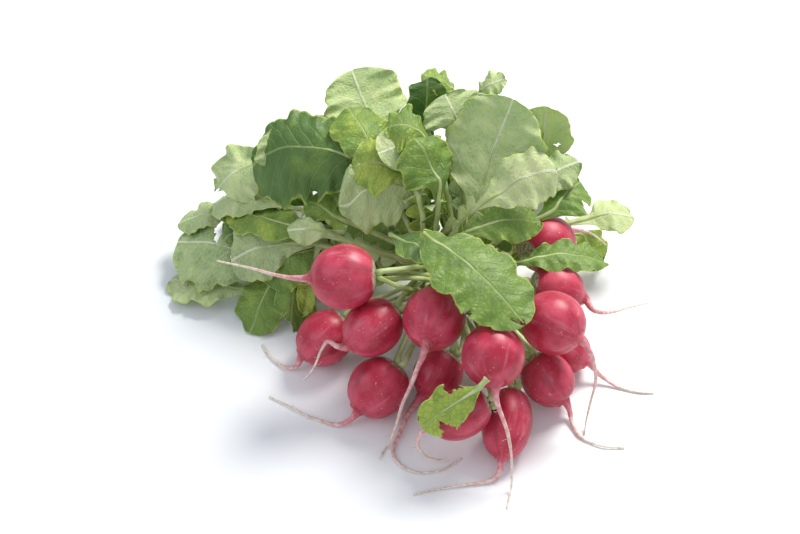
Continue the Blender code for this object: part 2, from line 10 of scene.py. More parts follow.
import bmesh
import bpy
import numpy as np
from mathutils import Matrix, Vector, noise
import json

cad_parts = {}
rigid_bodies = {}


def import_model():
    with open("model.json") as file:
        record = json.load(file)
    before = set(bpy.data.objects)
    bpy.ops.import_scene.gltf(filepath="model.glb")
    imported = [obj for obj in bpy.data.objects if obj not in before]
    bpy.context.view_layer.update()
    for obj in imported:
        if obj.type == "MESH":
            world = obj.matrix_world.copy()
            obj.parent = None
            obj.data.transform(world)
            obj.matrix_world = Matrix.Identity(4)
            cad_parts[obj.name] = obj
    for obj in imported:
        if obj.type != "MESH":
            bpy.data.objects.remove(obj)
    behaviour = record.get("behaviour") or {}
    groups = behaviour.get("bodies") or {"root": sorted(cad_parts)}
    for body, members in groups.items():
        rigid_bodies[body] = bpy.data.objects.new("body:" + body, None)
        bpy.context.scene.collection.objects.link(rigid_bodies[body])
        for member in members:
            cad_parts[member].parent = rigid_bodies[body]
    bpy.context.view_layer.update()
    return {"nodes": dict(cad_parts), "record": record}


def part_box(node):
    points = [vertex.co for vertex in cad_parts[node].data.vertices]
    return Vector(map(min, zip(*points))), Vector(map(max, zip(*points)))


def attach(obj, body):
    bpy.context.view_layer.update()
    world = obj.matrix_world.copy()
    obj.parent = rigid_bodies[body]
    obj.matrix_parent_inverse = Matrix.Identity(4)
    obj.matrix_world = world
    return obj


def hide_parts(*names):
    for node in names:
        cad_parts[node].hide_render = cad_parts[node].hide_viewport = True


for obj in list(bpy.data.objects):
    bpy.data.objects.remove(obj, do_unlink=True)
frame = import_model()
MM = 0.001
LEAF_NODES = sorted(name for name in frame["nodes"] if name.startswith("leaf_"))

# %% [markdown]
# Three small helpers are used by every step. Colours are chosen as sRGB hex values and turned
# to linear light, nodes are added in one line each, and a mesh is made from plain arrays with
# its point attributes, so that a material can ask a point how far along its leaf it is.


# %% Colours, nodes and meshes
def srgb(code):
    """Linear RGBA from a hex colour."""
    values = [int(code[i:i + 2], 16) / 255 for i in (1, 3, 5)]
    return (*[v / 12.92 if v <= 0.04045 else ((v + 0.055) / 1.055) ** 2.4 for v in values], 1)


def add_node(tree, kind, inputs=None, **settings):
    """Adds a node. An input is a constant, or an output socket to link from."""
    node = tree.nodes.new(kind)
    for key, value in settings.items():
        setattr(node, key, value)
    for key, value in (inputs or {}).items():
        if isinstance(value, bpy.types.NodeSocket):
            tree.links.new(value, node.inputs[key])
        else:
            node.inputs[key].default_value = value
    return node


def make_mesh(name, points, faces, materials, attributes=None):
    """A smooth mesh object in metres from points in millimetres."""
    mesh = bpy.data.meshes.new(name)
    mesh.from_pydata((np.asarray(points) * MM).tolist(), [], [list(face) for face in faces])
    for key, (kind, values) in (attributes or {}).items():
        layer = mesh.attributes.new(key, kind, "POINT")
        field = "value" if kind == "FLOAT" else "vector"
        layer.data.foreach_set(field, np.asarray(values, dtype=np.float32).ravel())
    for mat in materials:
        mesh.materials.append(mat)
    mesh.shade_smooth()
    obj = bpy.data.objects.new(name, mesh)
    bpy.context.scene.collection.objects.link(obj)
    return obj


print("mid grey in linear light", round(srgb("#808080")[0], 3))


# %% [markdown]
# Materials share two patterns. Fractal noise, sized by the real width of its patches, gives
# uneven colour, and a ramp turns any value to colours. Small functions keep each material as
# short as its description.


# %% Pattern helpers
def noise_of(tree, vector, size_mm, detail=3.0, unit=MM):
    """Noise whose patches are about this many millimetres across."""
    node = add_node(tree, "ShaderNodeTexNoise", {"Vector": vector, "Scale": 1 / (size_mm * unit),
                                                 "Detail": detail})
    return node.outputs["Fac"]


def math_of(tree, operation, a, b=0.0, c=0.0):
    """A maths node's output."""
    return add_node(tree, "ShaderNodeMath", {0: a, 1: b, 2: c}, operation=operation).outputs[0]


def between(tree, value, low, high, out_low=0.0, out_high=1.0):
    """Smooth step from out_low to out_high as value goes from low to high."""
    node = add_node(tree, "ShaderNodeMapRange", {"Value": value, 1: low, 2: high, 3: out_low,
                                                 4: out_high}, interpolation_type="SMOOTHSTEP")
    return node.outputs["Result"]


def mix_of(tree, factor, a, b, blend="MIX"):
    """Mixes two colours, or two colour sockets."""
    node = add_node(tree, "ShaderNodeMix", {0: factor, 6: a, 7: b}, data_type="RGBA",
                    blend_type=blend)
    return node.outputs[2]


def new_material(name):
    """A material with nodes, its tree and its Principled shader."""
    mat = bpy.data.materials.new(name)
    mat.use_nodes = True
    return mat, mat.node_tree, mat.node_tree.nodes["Principled BSDF"]


def set_inputs(tree, node, values):
    for key, value in values.items():
        if isinstance(value, bpy.types.NodeSocket):
            tree.links.new(value, node.inputs[key])
        else:
            node.inputs[key].default_value = value


def bump_of(tree, height, depth_mm, strength=1.0):
    """Surface normal from a height of 0 to 1, this deep in millimetres."""
    node = add_node(tree, "ShaderNodeBump", {"Height": height, "Distance": depth_mm * MM,
                                             "Strength": strength})
    return node.outputs["Normal"]


print("noise scale for 2 mm patches", round(1 / (2 * MM)))


# %% [markdown]
# ## Radish skin
# A garden radish has a thin skin, crimson from anthocyanin dissolved in its outer cells over
# white flesh. It is waxy and washed, so it is glossy. Where the skin is rubbed the white shows
# as fine pale scuffs that run from crown to root, and the taproot fades to pink and then to
# beige. A little light enters the flesh, which subsurface scattering gives.

# %% Radish skin material
SKIN, tree, shader = new_material("radish_skin_washed")
place = add_node(tree, "ShaderNodeTexCoord").outputs["Object"]
meridian = add_node(tree, "ShaderNodeAttribute", attribute_name="meridian").outputs["Vector"]
tail = add_node(tree, "ShaderNodeAttribute", attribute_name="tail").outputs["Fac"]
patches = noise_of(tree, place, 9)
red = mix_of(tree, between(tree, patches, 0.35, 0.68), srgb("#B52640"), srgb("#D04B62"))
streaks = noise_of(tree, meridian, 1.5, 5, 1.0)
red = mix_of(tree, between(tree, streaks, 0.54, 0.76, 0, 0.45), red, srgb("#E08D9C"))
dark = noise_of(tree, meridian, 3.0, 2, 1.0)
red = mix_of(tree, between(tree, dark, 0.52, 0.72, 0, 0.55), red, srgb("#861328"))
specks = noise_of(tree, place, 1.1, 2)
red = mix_of(tree, between(tree, specks, 0.68, 0.76, 0, 0.6), red, srgb("#F0C3C4"))
pink = mix_of(tree, between(tree, noise_of(tree, place, 2.5), 0.4, 0.65), srgb("#D98A92"),
              srgb("#EDC9C6"))
white = mix_of(tree, between(tree, noise_of(tree, place, 1.8), 0.4, 0.65), srgb("#EFE6DA"),
               srgb("#D9C3A8"))
colour = mix_of(tree, between(tree, tail, 0.02, 0.42), red, pink)
colour = mix_of(tree, between(tree, tail, 0.32, 0.85), colour, white)
crown = add_node(tree, "ShaderNodeAttribute", attribute_name="crown").outputs["Fac"]
earth = mix_of(tree, between(tree, noise_of(tree, place, 1.2), 0.4, 0.6), srgb("#8A7A5A"),
               srgb("#C7BFA4"))
colour = mix_of(tree, between(tree, crown, 0.35, 0.8), colour, earth)
ripple = math_of(tree, "ADD", math_of(tree, "MULTIPLY", noise_of(tree, place, 4), 0.7),
                 math_of(tree, "MULTIPLY", noise_of(tree, meridian, 1.0, 3, 1.0), 0.3))
set_inputs(tree, shader, {
    "Base Color": colour, "IOR": 1.45, "Roughness": between(tree, patches, 0.3, 0.7, 0.36, 0.5),
    "Subsurface Weight": 0.18, "Subsurface Radius": (1.0, 0.35, 0.3), "Subsurface Scale": 0.002,
    "Coat Weight": 0.12, "Coat Roughness": 0.3, "Normal": bump_of(tree, ripple, 0.5, 0.5)})
print("material", SKIN.name)

# %% [markdown]
# ## Leaves
# A radish leaf is about 0.3 mm thick. Its net of veins is sunk in the upper side, so the blade
# swells between them, and stands proud on the paler underside. One function makes both
# materials. The veins are drawn in the leaf's own millimetres, which each point carries as an
# attribute: side veins leave the midrib every 7 mm and a fine net fills the space between.

# %% Leaf materials
VEIN_SPACING = 7.0
VEIN_SLOPE = 0.85                   # side veins run forward by this much per millimetre out
NET_SIZE = 2.4


def vein_masks(tree):
    """Masks of the main veins and of the net, each 1 on a vein, and of the swelling between."""
    spot = add_node(tree, "ShaderNodeAttribute", attribute_name="leaf_mm").outputs["Vector"]
    axes = add_node(tree, "ShaderNodeSeparateXYZ", {0: spot})
    across = math_of(tree, "ABSOLUTE", axes.outputs[0])
    phase = math_of(tree, "MULTIPLY_ADD", across, -VEIN_SLOPE, axes.outputs[1])
    phase = math_of(tree, "FRACT", math_of(tree, "DIVIDE", phase, VEIN_SPACING))
    gap = math_of(tree, "ABSOLUTE", math_of(tree, "SUBTRACT", phase, 0.5))
    side = math_of(tree, "MAXIMUM", between(tree, gap, 0.0, 0.05, 1, 0),
                   between(tree, across, 0.3, 0.75, 1, 0))
    cells = add_node(tree, "ShaderNodeTexVoronoi", {"Vector": spot, "Scale": 1 / NET_SIZE},
                     feature="DISTANCE_TO_EDGE")
    net = between(tree, cells.outputs["Distance"], 0.0, 0.12, 1, 0)
    swell = between(tree, cells.outputs["Distance"], 0.0, 0.5)
    return side, net, swell


def leaf_material(name, yellow, green, dark, vein, net_tint_and_shade, is_top):
    """Leaf tissue. The tone attribute gives each leaf its place between yellow and dark."""
    mat, tree, shader = new_material(name)
    place = add_node(tree, "ShaderNodeTexCoord").outputs["Object"]
    tone = add_node(tree, "ShaderNodeAttribute", attribute_name="tone").outputs["Fac"]
    edge = add_node(tree, "ShaderNodeAttribute", attribute_name="edge").outputs["Fac"]
    side, net, swell = vein_masks(tree)
    clouds = noise_of(tree, place, 11, 4)
    level = math_of(tree, "ADD", tone, between(tree, clouds, 0.3, 0.7, -0.22, 0.22))
    colour = mix_of(tree, between(tree, level, 0.0, 0.5), srgb(yellow), srgb(green))
    colour = mix_of(tree, between(tree, level, 0.5, 1.0), colour, srgb(dark))
    # Painted shade: on the upper side the fine vein net is painted dark green for the shade in its
    # sunken grooves. On the underside the net is tinted grey-green.
    colour = mix_of(tree, math_of(tree, "MULTIPLY", net, 0.42), colour, srgb(net_tint_and_shade))
    colour = mix_of(tree, math_of(tree, "MULTIPLY", side, 0.5 if is_top else 0.85), colour,
                    srgb(vein))
    # Painted highlight: a brighter yellow-green band along the whole margin stands for light
    # catching the curled leaf edges.
    rim = between(tree, edge, 0.93, 1.0, 0, 0.75)
    colour = mix_of(tree, rim, colour, srgb("#B9C765"))
    sun = -1 if is_top else 1
    height = math_of(tree, "MULTIPLY", side, 0.9 * sun)
    height = math_of(tree, "MULTIPLY_ADD", swell, -0.7 * sun, height)
    grain = noise_of(tree, place, 0.6, 2)
    height = math_of(tree, "MULTIPLY_ADD", grain, 0.18, height)
    set_inputs(tree, shader, {
        "Base Color": colour, "IOR": 1.42,
        "Roughness": between(tree, clouds, 0.3, 0.7, 0.42, 0.56) if is_top else 0.6,
        "Specular IOR Level": 0.45 if is_top else 0.3,
        "Subsurface Weight": 0.3, "Subsurface Radius": (0.5, 0.8, 0.15),
        "Subsurface Scale": 0.0015, "Normal": bump_of(tree, height, 0.35, 0.8)})
    return mat


# The upper side's net colour, #557236, is painted shade for its sunken grooves.
LEAF_TOP = leaf_material("leaf_upper_side", "#A6B74C", "#77923F", "#557238", "#A9BB78",
                         "#557236", True)
LEAF_UNDER = leaf_material("leaf_underside", "#C8D298", "#A9BA80", "#8A9E6C", "#DFE6C2",
                           "#C3CDA2", False)
print("materials", LEAF_TOP.name, LEAF_UNDER.name)

# %% [markdown]
# ## Stalks
# A stalk is crisp, pale green and full of water, with fine ribs along it. It is nearly clear, so
# more light enters it than the blade. Its ribs follow its length, which its points carry.

# %% Stalk material
STALK, tree, shader = new_material("leaf_stalk")
place = add_node(tree, "ShaderNodeTexCoord").outputs["Object"]
spot = add_node(tree, "ShaderNodeAttribute", attribute_name="leaf_mm").outputs["Vector"]
tone = add_node(tree, "ShaderNodeAttribute", attribute_name="tone").outputs["Fac"]
colour = mix_of(tree, between(tree, noise_of(tree, place, 7), 0.35, 0.65), srgb("#A5B56E"),
                srgb("#C6D29A"))
colour = mix_of(tree, between(tree, tone, 0.3, 1.0, 0, 0.5), colour, srgb("#8CA659"))
ribs = noise_of(tree, spot, 0.5, 2, 1.0)
set_inputs(tree, shader, {
    "Base Color": colour, "Roughness": 0.38, "IOR": 1.42, "Subsurface Weight": 0.35,
    "Subsurface Radius": (0.8, 1.0, 0.35), "Subsurface Scale": 0.002,
    "Normal": bump_of(tree, ribs, 0.2, 0.7)})
print("material", STALK.name)

# %% [markdown]
# ## Sweeping a round section along a path
# Globes, taproots and stalks all are round sections on a path. A curve object could do it, but
# it gives no room for creases and for the attributes that the materials need, so the rings are
# computed: each ring's side direction is carried along from the last, so nothing twists.


# %% Paths and sweeps
def unit(vector):
    vector = np.asarray(vector, float)
    return vector / np.linalg.norm(vector)


def smooth_path(points, count):
    """Points spaced evenly in parameter on a Catmull-Rom curve through the given points."""
    pts = np.asarray(points, float)
    pts = np.concatenate([2 * pts[:1] - pts[1:2], pts, 2 * pts[-1:] - pts[-2:-1]])
    where = np.linspace(0, len(points) - 1, count)
    index = np.minimum(where.astype(int), len(points) - 2)
    f = (where - index).reshape(-1, *[1] * (pts.ndim - 1))
    a, b, c, d = (pts[index + k] for k in range(4))
    return 0.5 * (2 * b + (c - a) * f + (2 * a - 5 * b + 4 * c - d) * f ** 2
                  + (3 * b - a - 3 * c + d) * f ** 3)


def frames_along(path, first_side):
    """Unit tangent, side and up at each point of a path, without twist."""
    tangents = np.gradient(path, axis=0)
    tangents /= np.linalg.norm(tangents, axis=1)[:, None]
    sides, side = [], np.asarray(first_side, float)
    for tangent in tangents:
        side = unit(side - tangent * (side @ tangent))
        sides.append(side)
    sides = np.array(sides)
    return tangents, sides, np.cross(tangents, sides)


def walked(path):
    """Length along a path at each of its points."""
    return np.concatenate([[0], np.cumsum(np.linalg.norm(np.diff(path, axis=0), axis=1))])


def circle_out(sides, ups, count):
    """Angles round a ring, and each ring's outward directions at them."""
    turn = np.linspace(0, 2 * np.pi, count, endpoint=False)
    return turn, (np.cos(turn)[None, :, None] * sides[:, None]
                  + np.sin(turn)[None, :, None] * ups[:, None])


def ring_faces(rings, sides):
    """Quads between rings, with a fan at each end to the two last points."""
    faces = []
    for i in range(rings - 1):
        for k in range(sides):
            a, b = i * sides + k, i * sides + (k + 1) % sides
            faces.append((a, b, b + sides, a + sides))
    start, end, last = rings * sides, rings * sides + 1, (rings - 1) * sides
    for k in range(sides):
        faces.append((start, (k + 1) % sides, k))
        faces.append((end, last + k, last + (k + 1) % sides))
    return faces


def fractal(points, size_mm, seed=0.0):
    """Smooth noise from -1 to 1 at each point, in patches of this size."""
    return np.array([noise.noise(Vector(p / size_mm) + Vector((seed, seed * 0.7, -seed)))
                     for p in points])


print("faces of a rod with 10 rings of 8", len(ring_faces(10, 8)))


# %% [markdown]
# ## The radishes
# The shapes are the same globes as the solid model's: a centre, a direction from crown to root,
# a radius, half a length and the taproot's route. Here the globe is not a perfect one. It is
# flattened at the crown, drawn out to a funnel at the root, slightly lumpy, and creased round
# the root. The taproot thins to a thread and wanders a little.

# %% Radish table
SHIFT = np.array([-3.2, -7.6, -0.4])
RADISHES = [
    ("radish_01", (-24.6, -24.2, 58), (-1.0, 0.0, -0.05), 14.5, 15.2,
     [(-46, -23, 56), (-53, -19, 53), (-65, -10, 49), (-76, -3, 45), (-83, 1, 43)]),
    ("radish_02", (-12, -33.5, 35.5), (-0.8, -0.5, -0.3), 12.5, 14.4,
     [(-28, -42, 32), (-32, -40, 33), (-35, -42, 29), (-38, -45, 22), (-43, -46, 15)]),
    ("radish_03", (15, -36.7, 45), (-0.25, -0.97, -0.05), 13.9, 14.6,
     [(10, -56, 41), (6, -60, 33), (1, -66, 20), (-3, -70, 8), (-6, -73, 1.5), (-9, -80, 1)]),
    ("radish_04", (-34.3, -19.9, 14), (-0.76, -0.44, -0.44), 12.3, 14,
     [(-48, -28, 3), (-53, -27, 1.6), (-60, -20, 1.2), (-64, -12, 1)]),
    ("radish_05", (-9.6, -50, 14), (-0.66, -0.53, -0.53), 13.4, 14.4,
     [(-23, -60, 3.5), (-29, -61, 1.8), (-38, -57, 1.3), (-48, -51, 1.1), (-59, -44, 1)]),
    ("radish_06", (17.1, -41, 13), (-0.6, -0.57, -0.57), 11.2, 12.3,
     [(7, -51, 3.5), (3, -57, 2.2), (0, -67, 1.8), (-3, -77, 1.6), (0, -84, 1.5),
      (8, -88, 1.3), (18, -87, 1.1), (27, -80, 1)]),
    ("radish_07", (26, -74, 24), (-0.92, -0.3, -0.25), 11.1, 14.4,
     [(9, -80, 18), (8, -83, 12), (13, -83, 5), (21, -82, 2)]),
    ("radish_08", (40.1, -58.3, 44), (0.03, -0.97, -0.26), 13.7, 14.4,
     [(41, -77, 38), (43, -81, 33), (46, -86, 24), (48, -92, 12), (48, -97, 3), (46, -107, 1)]),
    ("radish_09", (47, -69.5, 12.5), (-0.17, -0.93, -0.33), 11.1, 17,
     [(43, -90, 4.5), (40, -93, 1.6), (30, -95, 1.2), (17, -97, 1.1), (6, -100, 1)]),
    ("radish_10", (67.3, -37.8, 43), (0.73, -0.67, 0.035), 14, 14.8,
     [(81, -51, 42), (84, -54, 38), (86, -56, 28), (85, -58, 16), (83, -60, 5), (82, -66, 1)]),
    ("radish_11", (66, -45, 14.2), (0.6, -0.6, -0.5), 11.6, 13.2,
     [(76, -56, 4), (77, -61, 2), (80, -68, 1.3), (88, -73, 1.1), (99, -74, 1)]),
    ("radish_12", (71.2, -5.5, 30), (0.95, 0.0, -0.3), 12.4, 13.4,
     [(88, -11, 24), (94, -10, 20), (101, -4, 15), (109, 4, 10), (117, 10, 6)]),
    ("radish_13", (67.9, 21.1, 34), (0.75, 0.65, -0.1), 13.4, 14.4,
     [(85, 33, 31), (91, 33, 28), (97, 31, 24)]),
    ("radish_14", (76, -24.5, 11.2), (0.8, -0.5, -0.2), 10.3, 11.5,
     [(88, -32, 7), (93, -35, 3.5), (99, -38, 1.6), (108, -41, 1.2), (115, -42, 1)]),
]

# %% [markdown]
# Each radish is swept along one path: down the globe's axis and on along the taproot. The first
# rings follow the globe's outline, the last ones the taproot's taper.

# %% Grow the radishes
AROUND = 56                         # points in a ring
GLOBE_RINGS = 46
TAIL_RINGS = 64
CROWN_ANGLE, ROOT_ANGLE = 4, 158    # degrees from the crown where the globe's rings run
NECK = 1.06                         # half lengths from the middle to the taproot's start
TAIL_RADIUS, TIP_RADIUS = 1.89, 0.34
WANDER = 0.9                        # millimetres that a taproot strays from its route
FOLD_DEPTH = 0.024                  # of the radius, round the root
LOWEST = 0.42                       # millimetres above the floor, before the shift
STREAK_WIDTH = 6                    # spreads the streak pattern round the globe


def radish_path(centre, direction, radius, half_length, tail, seed):
    """Centre line, radius and tail share of each ring, from crown to tip."""
    centre, direction = np.array(centre, float), unit(direction)
    degrees = np.linspace(CROWN_ANGLE, ROOT_ANGLE, GLOBE_RINGS)
    angles = np.radians(degrees)
    globe = centre - np.cos(angles)[:, None] * direction * half_length
    dip = 1.1 * np.exp(-(degrees / 20) ** 2)
    globe += dip[:, None] * direction
    radii = radius * np.sin(angles)
    funnel = 0.17 * radius * np.exp(-((degrees - ROOT_ANGLE) / 12) ** 2)
    radii = radii * (1 - 0.22 * np.exp(-((degrees - ROOT_ANGLE) / 9) ** 2)) + 0.3 * funnel
    start = centre + direction * half_length * NECK
    route = smooth_path([globe[-1], start] + [np.array(p, float) for p in tail], TAIL_RINGS)
    share = np.linspace(0, 1, TAIL_RINGS)
    wander = np.column_stack([fractal(route, 14, seed + k) for k in range(3)])
    route = route + wander * (WANDER * np.sin(np.pi * share) ** 0.7)[:, None]
    thin = TIP_RADIUS + (TAIL_RADIUS - TIP_RADIUS) * (1 - share) ** 1.7
    thin += (radii[-1] - TAIL_RADIUS) * np.exp(-share * 10)
    path = np.vstack([globe, route[1:]])
    return path, np.concatenate([radii, thin[1:]]), np.concatenate([0 * radii, share[1:]])


def grow_radish(name, centre, direction, radius, half_length, tail, seed):
    """One radish as a mesh object, and its centre line."""
    path, radii, share = radish_path(centre, direction, radius, half_length, tail, seed)
    on_floor = radii[GLOBE_RINGS:] * 1.05 + 0.5
    path[GLOBE_RINGS:, 2] = np.maximum(path[GLOBE_RINGS:, 2], on_floor)
    tangents, sides, ups = frames_along(path, np.cross(unit(direction), (0.3, 0.2, 1)))
    turn, out = circle_out(sides, ups, AROUND)
    points = (path[:, None] + out * radii[:, None, None]).reshape(-1, 3)
    walk = walked(path)
    girth = np.repeat(radii, AROUND)
    bumps = 0.022 * fractal(points, 11, seed) + 0.008 * fractal(points, 4, seed + 5)
    where = np.arange(len(path)) / GLOBE_RINGS
    rooty = np.repeat(np.exp(-((where - 1.02) / 0.17) ** 2), AROUND)
    folds = np.tile(np.sin(turn * 7 + seed) + 0.6 * np.sin(turn * 11 + 2 * seed), len(path))
    knots = np.repeat(np.where(share > 0, np.sin(walk * 2.1 + seed) ** 8, 0), AROUND)
    lift = girth * (bumps + FOLD_DEPTH * rooty * folds) + 0.1 * knots
    points += out.reshape(-1, 3) * lift[:, None]
    points[:, 2] = np.maximum(points[:, 2], LOWEST)
    ends = np.array([path[0] - tangents[0] * 0.1, path[-1] + tangents[-1] * 0.5])
    meridian = np.column_stack([np.tile(np.cos(turn), len(path)) * STREAK_WIDTH,
                                np.tile(np.sin(turn), len(path)) * STREAK_WIDTH,
                                np.repeat(walk, AROUND) * 0.11 + seed])
    crown = np.repeat(np.exp(-(walk / 1.7) ** 2), AROUND)
    pad = [0.0, 1.0]
    attributes = {
        "meridian": ("FLOAT_VECTOR", np.vstack([meridian, meridian[[0, -1]]])),
        "tail": ("FLOAT", np.concatenate([np.repeat(share, AROUND), pad])),
        "crown": ("FLOAT", np.concatenate([crown, [1.0, 0.0]]))}
    obj = make_mesh(name, np.vstack([points, ends]) + SHIFT, ring_faces(len(path), AROUND),
                    [SKIN], attributes)
    return obj, path + SHIFT


PATHS = {}
for number, row in enumerate(RADISHES, start=1):
    globe, PATHS[row[0]] = grow_radish(row[0] + "_globe", *row[1:], 3.7 * number)
    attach(globe, "root")
    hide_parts(row[0])
print("radishes", len(PATHS), "faces each", len(globe.data.polygons))

# %% [markdown]
# ## Reading the leaves back
# The solid model already knows where each leaf runs and how it is bent, so nothing is placed by
# hand. Its solid is a loft: rings of 8 points, with a flat cap at each end. Walking the edges
# outward from the round cap at the crown gives the rings back in order. The first ones are the
# stalk. The last six are the blade, and averaging each ring's upper and lower points gives 5
# columns on the leaf's middle surface. Tracing a curve by hand would be quicker for one leaf,
# but this keeps all 43 where the solid model has them.


# %% Find a solid's rings
BLADE_RINGS = 6
RING_POINTS = 8


def merged_copy(node):
    """A merged copy of a node's mesh, in millimetres."""
    work = bmesh.new()
    work.from_mesh(frame["nodes"][node].data)
    bmesh.ops.remove_doubles(work, verts=work.verts, dist=2e-6)
    bmesh.ops.scale(work, vec=(1 / MM,) * 3, verts=work.verts)
    work.verts.ensure_lookup_table()
    work.faces.ensure_lookup_table()
    return work


def end_caps(work):
    """Flat ends of a swept solid: groups of coplanar triangles that fill one ring."""
    caps, seen = [], set()
    for face in work.faces:
        if face.index in seen:
            continue
        group, queue = [], [face]
        seen.add(face.index)
        while queue:
            current = queue.pop()
            group.append(current)
            for edge in current.edges:
                for other in edge.link_faces:
                    if other.index not in seen and other.normal.dot(face.normal) > 0.99999:
                        seen.add(other.index)
                        queue.append(other)
        corners = {v.index for f in group for v in f.verts}
        if len(group) == RING_POINTS - 2 and len(corners) == RING_POINTS:
            caps.append(corners)
    return caps


def layers_from(start, near):
    """Groups of points by their number of edges from the first group."""
    seen, layer, layers = set(start), sorted(start), []
    while layer:
        layers.append(layer)
        layer = sorted({n for v in layer for n in near[v]} - seen)
        seen.update(layer)
    return layers


print("a blade is read from", BLADE_RINGS, "rings of", RING_POINTS, "points")


# %% Read the leaves
def read_leaf(node):
    """Centres of the stalk's rings, and the blade's 5 columns of middle points, ring by ring."""
    work = merged_copy(node)
    work.normal_update()
    points = np.array([v.co[:] for v in work.verts])
    near = [[e.other_vert(v).index for e in v.link_edges] for v in work.verts]
    caps = [list(c) for c in end_caps(work)]
    work.free()
    uneven = [np.ptp(np.linalg.norm(points[c] - points[c].mean(axis=0), axis=1)) for c in caps]
    crown = caps[int(np.argmin(uneven))]
    layers = layers_from(crown, near)
    rings = [points[layer] for layer in layers if len(layer) == RING_POINTS]
    centres = np.array([ring.mean(axis=0) for ring in rings])
    columns, side = [], None
    for i in range(len(rings) - BLADE_RINGS, len(rings)):
        ring = rings[i]
        gaps = np.linalg.norm(ring[:, None] - ring[None], axis=2)
        a, b = np.unravel_index(int(np.argmax(gaps)), gaps.shape)
        axis = unit(ring[b] - ring[a])
        if side is None and np.cross(axis, centres[i] - centres[i - 1])[2] < 0:
            axis = -axis
        if side is not None and axis @ side < 0:
            axis = -axis
        side = axis
        ring = ring[np.argsort(ring @ axis)]
        columns.append([ring[0], ring[1:3].mean(axis=0), ring[3:5].mean(axis=0),
                        ring[5:7].mean(axis=0), ring[7]])
    return centres[:-BLADE_RINGS], np.array(columns)


LEAVES = {name: read_leaf(name) for name in LEAF_NODES + ["torn_leaf"]}
spans = [np.linalg.norm(columns[2, 4] - columns[2, 0]) for _, columns in LEAVES.values()]
print("leaves read", len(LEAVES), "widths mm", round(min(spans), 1), "to", round(max(spans), 1))

# %% [markdown]
# ## Growing the leaves
# A blade is a grid of points on the middle surface that was read back. Its outline is drawn on
# that grid: widest past the middle, round at the tip, with shallow lobes and small teeth. The
# margin waves, and the blade swells between its side veins. Solidify then gives it thickness
# and puts the paler material on the underside. Each leaf differs through a few numbers: its
# tone from yellow to dark green, the depth of its lobes, how much its margin waves, and holes.

# %% Leaf numbers
STATIONS = (0, 0.10, 0.28, 0.48, 0.68, 0.86, 1.0)         # where the blade's rings are
CAD_WIDTHS = (0.20, 0.40, 0.80, 1.0, 0.97, 0.72, 0.24)    # their widths over the widest
LEAF_THICKNESS = 0.3
ROWS, COLUMNS = 96, 33
# Blades are this much wider than their flat solids, start this far back on the stalk, and
# lie this many millimetres to one side.
FULLNESS = {18: (1.15, 0.5, 0), 21: (2.2, 0.9, 0), 24: (1.2, 0.5, 0), 26: (1.15, 0.5, 0),
            28: (1.5, 0.9, 0), 29: (1.5, 0.9, 0), 30: (1.9, 1.0, -3), 31: (1.15, 0.8, 0),
            32: (1.45, 0.6, 0), 33: (1.6, 1.0, 0), 34: (2.4, 1.2, 2), 35: (1.5, 0.9, 0),
            36: (1.6, 0.9, 0), 37: (1.7, 0.9, 0), 38: (1.8, 1.0, 2), 39: (1.22, 0.5, -5),
            40: (2.3, 1.0, 3), 43: (1.12, 0.45, 0)}
USUAL_FULLNESS = (1.28, 0.5, 0)
BARE_STALKS = ("torn_leaf_blade", "leaf_43_blade", "leaf_27_blade")
LOBE_ROWS = 64
LOBE_SIZE = 6.5
LOBE_PITCH = 8.5                    # millimetres from one pair of side lobes to the next
# From 0, yellow-green, to 1, dark green.
TONES = {5: 0.25, 6: 0.5, 7: 0.45, 8: 0.0, 9: 0.1, 10: 0.7, 11: 0.45, 12: 0.5, 13: 0.95, 14: 0.6,
         15: 0.3, 16: 0.3, 17: 0.35, 18: 0.2, 19: 0.35, 20: 0.5, 21: 0.6, 22: 0.55, 23: 0.55,
         24: 0.05, 25: 0.55, 26: 0.95, 27: 0.85, 28: 0.3, 29: 0.3, 30: 0.75, 31: 0.3, 32: 0.35,
         33: 0.9, 34: 0.6, 35: 0.5, 36: 0.2, 37: 0.35, 38: 0.45, 39: 0.3, 40: 0.6, 41: 0.5,
         42: 0.15, 43: 0.6}
# Holes and notches: side from -1 to 1, place along the blade, and half size in both.
HOLES = {10: ((0.35, 0.55, 0.26, 0.06), (-0.2, 0.3, 0.12, 0.03)), 22: ((1.0, 0.62, 0.3, 0.07),),
         24: ((0.5, 0.4, 0.1, 0.02),), 43: ((0.15, 0.99, 0.2, 0.07), (1.0, 0.7, 0.18, 0.03)),
         26: ((-1.0, 0.45, 0.2, 0.04),), 39: ((1.0, 0.33, 0.25, 0.05),),
         44: ((0.9, 0.3, 0.4, 0.1), (-0.8, 0.7, 0.4, 0.1))}


print("leaves with their own tone", len(TONES), "with holes", len(HOLES))


# %% Outline of a blade
BIG_LOBE, TOOTH, SMALL_TOOTH = 19, 7.5, 2.1    # millimetres from one to the next
BIG_DEPTH, TOOTH_DEPTH, SMALL_DEPTH = 0.075, 0.045, 0.012


def catmull(rows, where):
    """Rows interpolated smoothly at fractional row numbers, and continued past both ends."""
    padded = np.concatenate([2 * rows[:1] - rows[1:2], rows, 2 * rows[-1:] - rows[-2:-1]])
    index = np.clip(np.floor(where).astype(int), 0, len(rows) - 2)
    f = (where - index).reshape(-1, *[1] * (rows.ndim - 1))
    a, b, c, d = (padded[index + k] for k in range(4))
    return 0.5 * (2 * b + (c - a) * f + (2 * a - 5 * b + 4 * c - d) * f ** 2
                  + (3 * b - a - 3 * c + d) * f ** 3)


